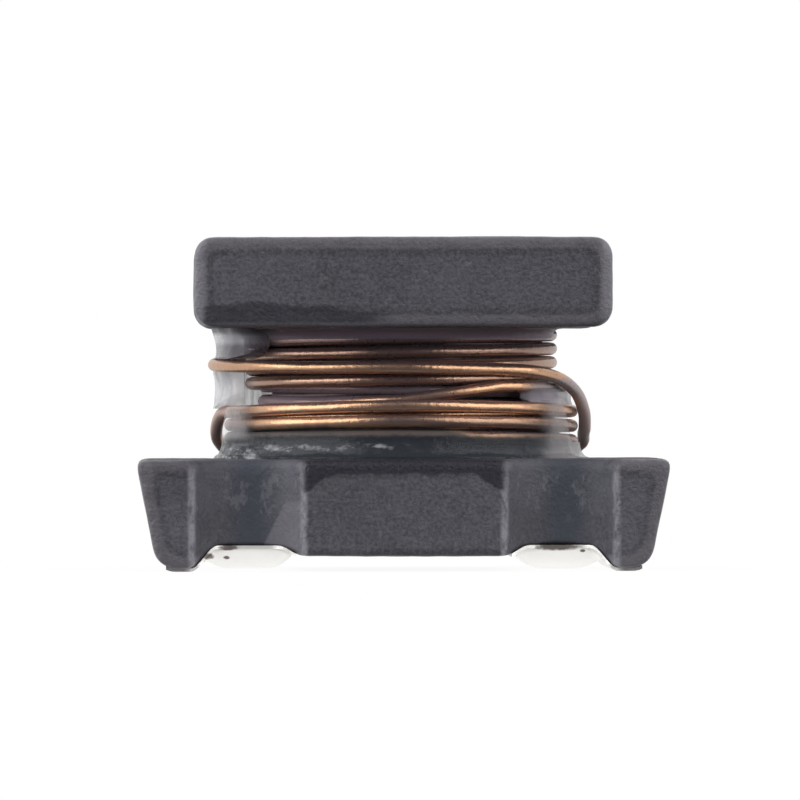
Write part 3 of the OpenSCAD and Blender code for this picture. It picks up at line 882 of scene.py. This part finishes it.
def wire_route(w, at, turn_steps=100, lead_steps=10):
    """The wire's middle line, from the left tail through all the layers to the right tail."""
    d = w.diameter
    radius = d / 2
    upper_pitch = d + w.upper_layer_gap
    lower_pitch = d + w.lower_layer_gap
    first = w.post / 2 + w.post_gap + radius
    upper = [first + k * upper_pitch for k in range(4)]
    lower = [first + k * lower_pitch for k in range(4)]
    lead_r = max(lower[3], upper[3]) + upper_pitch

    pitch = d + w.turn_gap
    low = at.base_top + w.end_gap + radius
    low_turns = int((w.lower_height - w.end_gap - d) / pitch)
    low_top = low + low_turns * pitch
    up = low_top + d + w.section_gap
    up_top = at.flange - w.end_gap - radius
    cross = up - radius
    third = up + 1.05 * pitch
    outer_turns = low_turns + 0.25
    outer_top = low + outer_turns * (d + w.outer_gap)
    last_z = up + w.last_rise

    stations = [(180, lower[3], outer_top)]

    def wind(sweep, r, level):
        """A stretch of the winding over so many degrees, to a radius and a level."""
        stations.append((stations[-1][0] + sweep, r, level))

    def fitting(height, part):
        """The degrees of the whole turns that fit a height, and of a part of a turn."""
        return 360 * (int(height / pitch - part) + part)

    wind(360 * outer_turns, lower[3], low)
    outer_end = stations[-1][0]
    wind(90, lower[2], low)
    wind(360 * low_turns, lower[2], low_top)
    wind(90, lower[1], low_top)
    wind(360 * low_turns, lower[1], low)
    wind(90, first, low)
    wind(fitting(up_top - low, 0.5), first, up_top)
    wind(90, upper[1], up_top)
    wind(fitting(up_top - up, 0.4), upper[1], cross)
    wind(36, upper[2], cross + 0.2 * d)
    wind(36, blend(upper[2], upper[3], 0.75), third - 0.28 * d)
    wind(36, upper[3], third - 0.26 * d)
    wind(54, blend(upper[2], upper[3], 0.9), third - 0.24 * d)
    wind(90, upper[2], third - 0.16 * d)
    wind(54, upper[2], third)
    wind(fitting(up_top - third, 0.5), upper[2], up_top)

    # The lowest turn's share of the highest one's sag, and that sag at the left
    low_share = 0.3
    left_sag = (w.outer_gap - w.touch_gap) * outer_turns / (1 - low_share)

    def on_turn(turn, r, z):
        """A point of the winding. The lower outer layer sags at its sides, most at the left."""
        a = math.radians(turn)
        if turn <= outer_end and r == lower[3]:
            share = blend(low_share, 1, (z - low) / (outer_top - low))
            z -= left_sag * share * (0.6 * math.cos(a) ** 2 - 0.4 * math.cos(a))
        return Vector((r * math.cos(a), r * math.sin(a), z))

    coil = [on_turn(*stations[0])]
    for (a0, r0, z0), (a1, r1, z1) in zip(stations, stations[1:]):
        steps = round((a1 - a0) / 360 * turn_steps)
        for t in (i / steps for i in range(1, steps + 1)):
            coil.append(on_turn(blend(a0, a1, t), blend(r0, r1, ease(t)), blend(z0, z1, t)))

    last_r = upper[3] + 0.2 * d
    bulge = last_r + w.last_bulge
    finish_z = last_z - 4.7 * d
    last_turn = [
        on_turn(45, blend(upper[2], bulge, 0.7), blend(up_top, last_z, 0.02)),
        on_turn(90, bulge, blend(up_top, last_z, 0.3)),
        on_turn(135, bulge, blend(up_top, last_z, 0.7)),
        on_turn(180, bulge, last_z + 0.3 * d),
        on_turn(225, blend(bulge, last_r, 0.7), last_z + 0.1 * d),
        on_turn(270, last_r, last_z),
        on_turn(310, blend(last_r, lead_r, 0.15), last_z - 0.15 * d),
        on_turn(330, blend(last_r, lead_r, 0.4), last_z - 0.65 * d),
        on_turn(343, blend(last_r, lead_r, 0.8), last_z - 1.8 * d),
        on_turn(352, lead_r, last_z - 3.4 * d),
        on_turn(360, lead_r, finish_z),
    ]

    tail_z = at.feet + w.groove_rise - w.plating - w.clearance - radius
    lead_y = at.notch_y + radius + 2 * w.clearance
    lead_top = at.base_top + radius + 3 * w.clearance

    def lead(side, z):
        """One wire end: back over the base, down the rear notch and along the groove."""

        def point(share, y, level):
            return Vector((side * blend(lead_r, at.notch, share), y, level))

        return [
            point(0, 0.28 * at.notch_y, blend(z, lead_top, 0.3)),
            point(0, 0.58 * at.notch_y, blend(z, lead_top, 0.68)),
            point(0.3, 0.88 * at.notch_y, blend(z, lead_top, 0.97)),
            point(0.55, at.notch_y + 0.2 * d, lead_top),
            point(0.7, lead_y + radius, at.base_top - 0.2 * d),
            point(0.85, lead_y, at.base_top - 2 * d),
            point(1, lead_y, blend(at.base_top, tail_z, 0.6)),
            point(1, lead_y, tail_z + 1.6 * d),
            point(1, lead_y, tail_z + 0.75 * d),
            point(1, lead_y - 0.15 * d, tail_z + 0.14 * d),
            point(1, lead_y - 0.75 * d, tail_z - 0.02 * d),
            point(1, lead_y - 2 * d, tail_z),
            point(1, lead_y - w.tail / 2, tail_z),
            point(1, lead_y - w.tail, tail_z),
        ]

    def smooth_run(c):
        """A smooth curve through points, with the neighbours before and after its two ends."""
        run = []
        for p0, p1, p2, p3 in zip(c, c[1:], c[2:], c[3:]):
            for t in (j / lead_steps for j in range(1, lead_steps + 1)):
                run.append(
                    (2 * p1 + t * (p2 - p0) + t * t * (2 * p0 - 5 * p1 + 4 * p2 - p3)
                     + t ** 3 * (3 * p1 - p0 - 3 * p2 + p3)) / 2
                )
        return run

    start_z = outer_top - left_sag
    start_bend = Vector((-blend(lower[3], lead_r, 0.6), 0.12 * at.notch_y, start_z - 0.1 * d))
    start = [start_bend, *lead(-1, start_z)]
    finish = last_turn + lead(1, finish_z)
    every = turn_steps // 20
    start_run = smooth_run([coil[every], coil[0], *start, start[-1]])
    finish_run = smooth_run([coil[-1 - every], coil[-1], *finish, finish[-1]])
    return [*reversed(start_run), *coil, *finish_run]


class INDUCTOR_OT_winding(bpy.types.Operator):
    """Wind the enamelled copper wire"""

    bl_idname = "inductor.winding"
    bl_label = "Copper winding"

    def execute(self, context):
        winding = in_mm(context.scene.inductor_winding)
        core = in_mm(context.scene.inductor_core)
        terminals = in_mm(context.scene.inductor_terminals)
        winding.post = core.post
        winding.groove_rise = core.groove_rise
        winding.plating = terminals.plating
        route = wire_route(winding, places(core))
        curve = bpy.data.curves.new("wire", "CURVE")
        curve.dimensions = "3D"
        curve.bevel_depth = winding.diameter / 2
        curve.bevel_resolution = 5
        curve.use_fill_caps = True
        spline = curve.splines.new("POLY")
        spline.points.add(len(route) - 1)
        for point, place in zip(spline.points, route):
            point.co = (*place, 1)
        wire = bpy.data.objects.new("wire", curve)
        context.scene.collection.objects.link(wire)
        bm = bmesh.new()
        tube = wire.to_mesh()
        bm.from_mesh(tube)
        wire.to_mesh_clear()
        bpy.data.objects.remove(wire)
        bpy.data.curves.remove(curve)
        bmesh.ops.remove_doubles(bm, verts=bm.verts, dist=NEAR)
        bmesh.ops.recalc_face_normals(bm, faces=bm.faces)
        finish = copper_finish(winding)
        hand_over("copper_winding", bm, "winding", finish, sharp=50)
        return {"FINISHED"}


def notch_reach(x, core, at, flare=0.08, power=1.8):
    """Distance of the front or rear outline from the middle, across a notch.

    A notch's side starts by the flare inside its floor's end, and bends outwards by the power.
    """
    start = core.notch_floor / 2 - flare
    side = (abs(x - at.notch) - start) / (core.notch_width / 2 - start)
    return blend(at.notch_y, at.half_depth, min(1.0, max(0.0, side)) ** power)


class INDUCTOR_OT_terminals(bpy.types.Operator):
    """Lay the two tinned terminals on the underside"""

    bl_idname = "inductor.terminals"
    bl_label = "Terminals"

    def execute(self, context):
        terminals = in_mm(context.scene.inductor_terminals)
        core = in_mm(context.scene.inductor_core)
        at = places(core)
        finish = tin_finish(terminals)
        first = at.land + terminals.margin
        last = at.foot_out - terminals.margin
        for name, side in SIDES.items():
            bm = bmesh.new()
            bmesh.ops.create_grid(bm, x_segments=40, y_segments=60, size=0.5)
            for vert in bm.verts:
                x = blend(first, last, vert.co.x + 0.5)
                ends = min(notch_reach(x, core, at), at.half_depth - terminals.face_edge)
                ends += terminals.ragged * noise.noise((x * 9, vert.co.y * 3, side))
                z = at.feet + underside(x, core, at)
                vert.co = Vector((side * x, 2 * vert.co.y * ends, z))
            bmesh.ops.recalc_face_normals(bm, faces=bm.faces)
            low = thicken(bm, bm.faces[:])
            bmesh.ops.translate(bm, verts=low, vec=(0, 0, -terminals.plating))
            bmesh.ops.recalc_face_normals(bm, faces=bm.faces)
            hand_over("tin_terminal_" + name, bm, "electrode_" + name, finish, sharp=40)
        return {"FINISHED"}


class INDUCTOR_OT_solder(bpy.types.Operator):
    """Fill the grooves with solder round the wire's ends"""

    bl_idname = "inductor.solder"
    bl_label = "Solder"

    def execute(self, context):
        terminals = in_mm(context.scene.inductor_terminals)
        core = in_mm(context.scene.inductor_core)
        at = places(core)
        finish = solder_finish(terminals)

        def ceiling(x):
            """Level of the terminal layer that the solder hangs from."""
            return at.feet + underside(abs(x), core, at) - terminals.plating

        for name, side in SIDES.items():
            low, high = corners(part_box("solder_" + name))
            middle, half = (low + high) / 2, (high - low) / 2
            bm = bmesh.new()
            bmesh.ops.create_grid(bm, x_segments=40, y_segments=120, size=1)
            for vert in bm.verts:
                u, v = vert.co.x, vert.co.y
                x, y = middle.x + half.x * u, middle.y + half.y * v
                swell = 1 - max(abs(u) ** 5, abs(v) ** 14)
                lump = terminals.lump_mean + terminals.lumps * noise.noise((x * 5, y * 3.5, side * 4))
                bottom = terminals.lift + max(lump, 0)
                vert.co = Vector((x, y, blend(ceiling(x) - terminals.solder_edge, bottom, swell)))
            for vert in thicken(bm, bm.faces[:]):
                vert.co.z = ceiling(vert.co.x)
            bmesh.ops.recalc_face_normals(bm, faces=bm.faces)
            hand_over("solder_fillet_" + name, bm, "solder_" + name, finish, sharp=50)
        return {"FINISHED"}


# Stretches of resin round the winding's axis: start and sweep in degrees, from +X towards +Y
APRON = (200, 142)
LEFT_FILM = (182, 42)
RIGHT_FILM = (312, 30)
COLLAR = (140, 205)
CHEEK = (165, 48)
BEAD = (140, 45)
WEB = (318, 85)
# Degrees over which a film rises from its ends
FILM_END = 9
# Degrees over which the resin thins to its ends
RESIN_END = 12
# Degrees that one face of the resin spans
RESIN_FACE = 3
# Edges of the resin that turn by more degrees than this stay crisp
RESIN_CREASE = 60


def turn_of(vert):
    """A point's place round the winding's axis, in degrees from +X towards +Y."""
    return math.degrees(math.atan2(vert.co.y, vert.co.x)) % 360


def meniscus(r, z, reach, rise, lip, steps=10):
    """Outline of resin drawn into an inner corner at radius r and level z, hollow on its open side."""
    edge = math.copysign(lip, rise)
    points = [(r, z), (r + reach, z)]
    for a in (math.pi / 2 * i / steps for i in range(steps + 1)):
        points.append((r + reach - (reach - lip) * math.sin(a), z + rise - (rise - edge) * math.cos(a)))
    return points + [(r, z + rise)]


class INDUCTOR_OT_resin(bpy.types.Operator):
    """Run the fixing resin round the winding"""

    bl_idname = "inductor.resin"
    bl_label = "Resin"

    def execute(self, context):
        resin = in_mm(context.scene.inductor_resin)
        at = places(in_mm(context.scene.inductor_core))
        foot = self.foot(resin, at, corners(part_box("resin_foot"))[1])
        hand_over("foot_resin", foot, "resin_foot", clear_resin_finish(resin), RESIN_CREASE)

        low, high = corners(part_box("resin_collar"))
        face_r = -low.y - resin.collar_reach
        outline = meniscus(face_r, at.flange, resin.collar_reach, -resin.collar_drop, resin.lip)
        collar = self.spun(outline, *COLLAR)
        self.taper(collar, face_r, *COLLAR)
        join(collar, self.filled(*CHEEK, low.z - resin.creep, high.z, face_r, -low.x))
        dim = dim_resin_finish(resin)
        hand_over("collar_resin", collar, "resin_collar", dim, RESIN_CREASE)

        low, high = corners(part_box("resin_bead"))
        bead = self.filled(*BEAD, low.z - resin.creep, high.z + resin.creep, face_r, -low.x)
        hand_over("bead_resin", bead, "resin_bead", milky_resin_finish(resin), RESIN_CREASE)

        low, high = corners(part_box("resin_web"))
        web = self.filled(*WEB, low.z - resin.creep, high.z + resin.creep, face_r, high.x)
        hand_over("web_resin", web, "resin_web", dim, RESIN_CREASE)
        return {"FINISHED"}

    def foot(self, resin, at, high):
        """The ring round the foot of the winding, higher in front, with a thin film at each side."""
        outline = meniscus(high.x - resin.reach, at.base_top, resin.reach, resin.rise, resin.lip)
        bm = self.spun(outline, 0, 360)
        stretches = (
            (*APRON, resin.apron),
            (*LEFT_FILM, resin.left_film),
            (*RIGHT_FILM, high.z - at.base_top),
        )
        for vert in bm.verts:
            turn = turn_of(vert)
            grown = resin.rise
            for start, sweep, rise in stretches:
                inside = min(turn - start, start + sweep - turn)
                share = ease(min(1, max(0, inside / FILM_END)))
                grown = max(grown, blend(resin.rise, rise, share))
            grown *= 1 + 0.08 * noise.noise(vert.co * 4)
            vert.co.z = at.base_top + (vert.co.z - at.base_top) * grown / resin.rise
        return bm

    def filled(self, start, sweep, low, high, face_r, out_r):
        """Resin between two levels, from the winding out to a radius, hollow on its open side."""
        waist = (out_r - face_r) / 8
        outline = [(face_r, high), (face_r, low)]
        for t in (i / 12 for i in range(13)):
            outline.append((out_r - waist * math.sin(math.pi * t), blend(low, high, t)))
        bm = self.spun(outline, start, sweep)
        self.taper(bm, face_r, start, sweep)
        return bm

    def spun(self, outline, start, sweep):
        """An outline of resin turned round the winding's axis."""
        bm = bmesh.new()
        a = math.radians(start)
        verts = [bm.verts.new((r * math.cos(a), r * math.sin(a), z)) for r, z in outline]
        face = bm.faces.new(verts)
        geom = [face, *face.edges, *face.verts]
        whole = sweep == 360
        if whole:
            bmesh.ops.delete(bm, geom=[face], context="FACES_ONLY")
            geom = bm.edges[:] + bm.verts[:]
        bmesh.ops.spin(
            bm, geom=geom, cent=(0, 0, 0), axis=(0, 0, 1), dvec=(0, 0, 0), angle=math.radians(sweep),
            steps=sweep // RESIN_FACE, use_merge=whole, use_normal_flip=False, use_duplicate=False,
        )
        bmesh.ops.remove_doubles(bm, verts=bm.verts, dist=NEAR)
        bmesh.ops.recalc_face_normals(bm, faces=bm.faces)
        return bm

    def taper(self, bm, face_r, start, sweep):
        """Thins the resin towards its two ends, up to its top, and makes its skin uneven."""
        top = max(vert.co.z for vert in bm.verts)
        for vert in bm.verts:
            turn = (turn_of(vert) - start) % 360
            end = min(1.0, max(0.0, min(turn, sweep - turn) / RESIN_END))
            thick = math.sqrt(1 - (1 - end) ** 2) * 0.9 + 0.1
            r = math.hypot(vert.co.x, vert.co.y)
            wanted = face_r + (r - face_r) * thick * (1 + 0.2 * noise.noise(vert.co * 6))
            vert.co.x *= wanted / r
            vert.co.y *= wanted / r
            vert.co.z = blend(top, vert.co.z, 0.5 + thick / 2)


class INDUCTOR_OT_stage(bpy.types.Operator):
    """Set the floor, the lamps, the background and the camera"""

    bl_idname = "inductor.stage"
    bl_label = "Stage"

    def execute(self, context):
        stage = in_mm(context.scene.inductor_stage)
        context.scene.view_settings.view_transform = "Standard"
        self.floor(context, stage)
        self.background(context)
        self.lamp(context, stage, -stage.left_azimuth, stage.left_radiance)
        self.lamp(context, stage, stage.right_azimuth, stage.right_radiance)
        self.camera(context, stage)
        return {"FINISHED"}

    def floor(self, context, stage):
        """A white floor that keeps the part's shadow."""
        bm = bmesh.new()
        bmesh.ops.create_grid(bm, x_segments=1, y_segments=1, size=stage.floor_size * MM / 2)
        mesh = bpy.data.meshes.new("floor")
        bm.to_mesh(mesh)
        bm.free()
        floor = bpy.data.objects.new("floor", mesh)
        context.scene.collection.objects.link(floor)
        f = Finish("floor")
        matt = f.add("ShaderNodeBsdfDiffuse", {}, {"Color": (*stage.white, 1)})
        dull = f.add("ShaderNodeBsdfDiffuse", {}, {"Color": (*stage.dull, 1)})
        white = f.add("ShaderNodeEmission", {}, {"Strength": 1.0})
        across = abs(f.x)
        # What the camera sees: white, with a little shade that is three times as deep as it is wide
        wide = across * 3
        away = (wide * wide + f.y * f.y).root().step(0, stage.shadow)
        seen = f.add("ShaderNodeMixShader", {}, {0: 0.92 + away * 0.08, 1: matt, 2: white})
        # What lights the part: white below it, and white at its sides where its gloss mirrors the floor
        near = (f.x * f.x + f.y * f.y).root().under(stage.bounce - 0.5, 0.5)
        near = near * (0.3 + abs(f.y).under(1.3, 0.2) * 0.7)
        glossy = f.add("ShaderNodeLightPath", output="Is Glossy Ray")
        sides = (across + f.y * 0.6).over(0.75, 0.45) * glossy
        unseen = f.add("ShaderNodeMixShader", {}, {0: near.most(sides), 1: dull, 2: white})
        camera = f.add("ShaderNodeLightPath", output="Is Camera Ray")
        above = f.add("ShaderNodeMixShader", {}, {0: camera, 1: unseen, 2: seen})
        # From below, the floor isn't there
        below = f.add("ShaderNodeNewGeometry", output="Backfacing")
        gone = f.add("ShaderNodeBsdfTransparent")
        mesh.materials.append(f.surface(f.add("ShaderNodeMixShader", {}, {0: below, 1: above, 2: gone})))

    def background(self, context):
        """White where it is seen, and a studio that is dark behind the camera where it lights."""
        world = bpy.data.worlds.new("studio")
        world.use_nodes = True
        tree = world.node_tree
        tree.nodes.clear()
        _, depth, height = split(tree, add_node(tree, "ShaderNodeTexCoord", output="Generated"))
        studio = depth.over(0.25, 0.1) * 0.95 + 0.05 + height.over(0.3, 0.2) * 0.07
        camera = add_node(tree, "ShaderNodeLightPath", output="Is Camera Ray")
        bright = studio + camera * (1 - studio)
        shade = add_node(tree, "ShaderNodeBackground", {}, {"Color": (1, 1, 1, 1), "Strength": bright})
        add_node(tree, "ShaderNodeOutputWorld", {}, {"Surface": shade})
        context.scene.world = world

    def lamp(self, context, stage, azimuth, radiance):
        """One large soft lamp beside the camera."""
        light = bpy.data.lights.new("soft_lamp", "AREA")
        light.shape = "RECTANGLE"
        light.size = stage.lamp_width * MM
        light.size_y = stage.lamp_height * MM
        light.energy = radiance * math.pi * light.size * light.size_y
        lamp = bpy.data.objects.new("soft_lamp", light)
        context.scene.collection.objects.link(lamp)
        flat = math.cos(stage.lamp_elevation)
        way = Vector((
            math.sin(azimuth) * flat,
            -math.cos(azimuth) * flat,
            math.sin(stage.lamp_elevation),
        ))
        lamp.location = (way * stage.lamp_distance + Vector((0, 0, stage.aim_z))) * MM
        lamp.rotation_euler = way.to_track_quat("Z", "Y").to_euler()
        lamp.visible_camera = False

    def camera(self, context, stage):
        """A long lens at the height of the part's middle."""
        data = bpy.data.cameras.new("camera")
        data.lens = data.sensor_width * stage.distance / stage.view_width
        data.clip_start = MM
        camera = bpy.data.objects.new("camera", data)
        context.scene.collection.objects.link(camera)
        back = Vector((-math.sin(stage.yaw), -math.cos(stage.yaw), 0))
        aim = Vector((stage.aim_x, CORE_LOW.y, stage.aim_z))
        camera.location = (aim + back * stage.distance) * MM
        level = (-back).to_track_quat("-Z", "Y")
        camera.rotation_euler = (level @ Quaternion((0, 0, 1), -stage.roll)).to_euler()
        context.scene.camera = camera


OPERATORS = (
    INDUCTOR_OT_core,
    INDUCTOR_OT_winding,
    INDUCTOR_OT_terminals,
    INDUCTOR_OT_solder,
    INDUCTOR_OT_resin,
    INDUCTOR_OT_stage,
)
SETTINGS = {
    "inductor_core": CoreSettings,
    "inductor_winding": WindingSettings,
    "inductor_terminals": TerminalSettings,
    "inductor_resin": ResinSettings,
    "inductor_stage": StageSettings,
}


class INDUCTOR_PT_panel(bpy.types.Panel):
    """Pieces of the inductor and their settings"""

    bl_idname = "INDUCTOR_PT_panel"
    bl_label = "Wirewound inductor"
    bl_space_type = "VIEW_3D"
    bl_region_type = "UI"
    bl_category = "Inductor"

    def draw(self, context):
        for operator in OPERATORS:
            self.layout.operator(operator.bl_idname)
        for key in SETTINGS:
            group = getattr(context.scene, key)
            box = self.layout.box()
            box.label(text=group.bl_rna.description)
            for name in group.bl_rna.properties.keys():
                if name not in ("rna_type", "name"):
                    box.prop(group, name)


def register():
    """Makes the settings, the operators and the panel known to Blender."""
    for key, group in SETTINGS.items():
        bpy.utils.register_class(group)
        setattr(bpy.types.Scene, key, PointerProperty(type=group))
    for operator in OPERATORS:
        bpy.utils.register_class(operator)
    bpy.utils.register_class(INDUCTOR_PT_panel)


def unregister():
    """Undoes register."""
    bpy.utils.unregister_class(INDUCTOR_PT_panel)
    for operator in reversed(OPERATORS):
        bpy.utils.unregister_class(operator)
    for key, group in reversed(SETTINGS.items()):
        delattr(bpy.types.Scene, key)
        bpy.utils.unregister_class(group)


def main():
    """Builds every piece and the stage."""
    register()
    bpy.ops.inductor.core()
    bpy.ops.inductor.winding()
    bpy.ops.inductor.terminals()
    bpy.ops.inductor.solder()
    bpy.ops.inductor.resin()
    bpy.ops.inductor.stage()


if __name__ == "__main__":
    main()
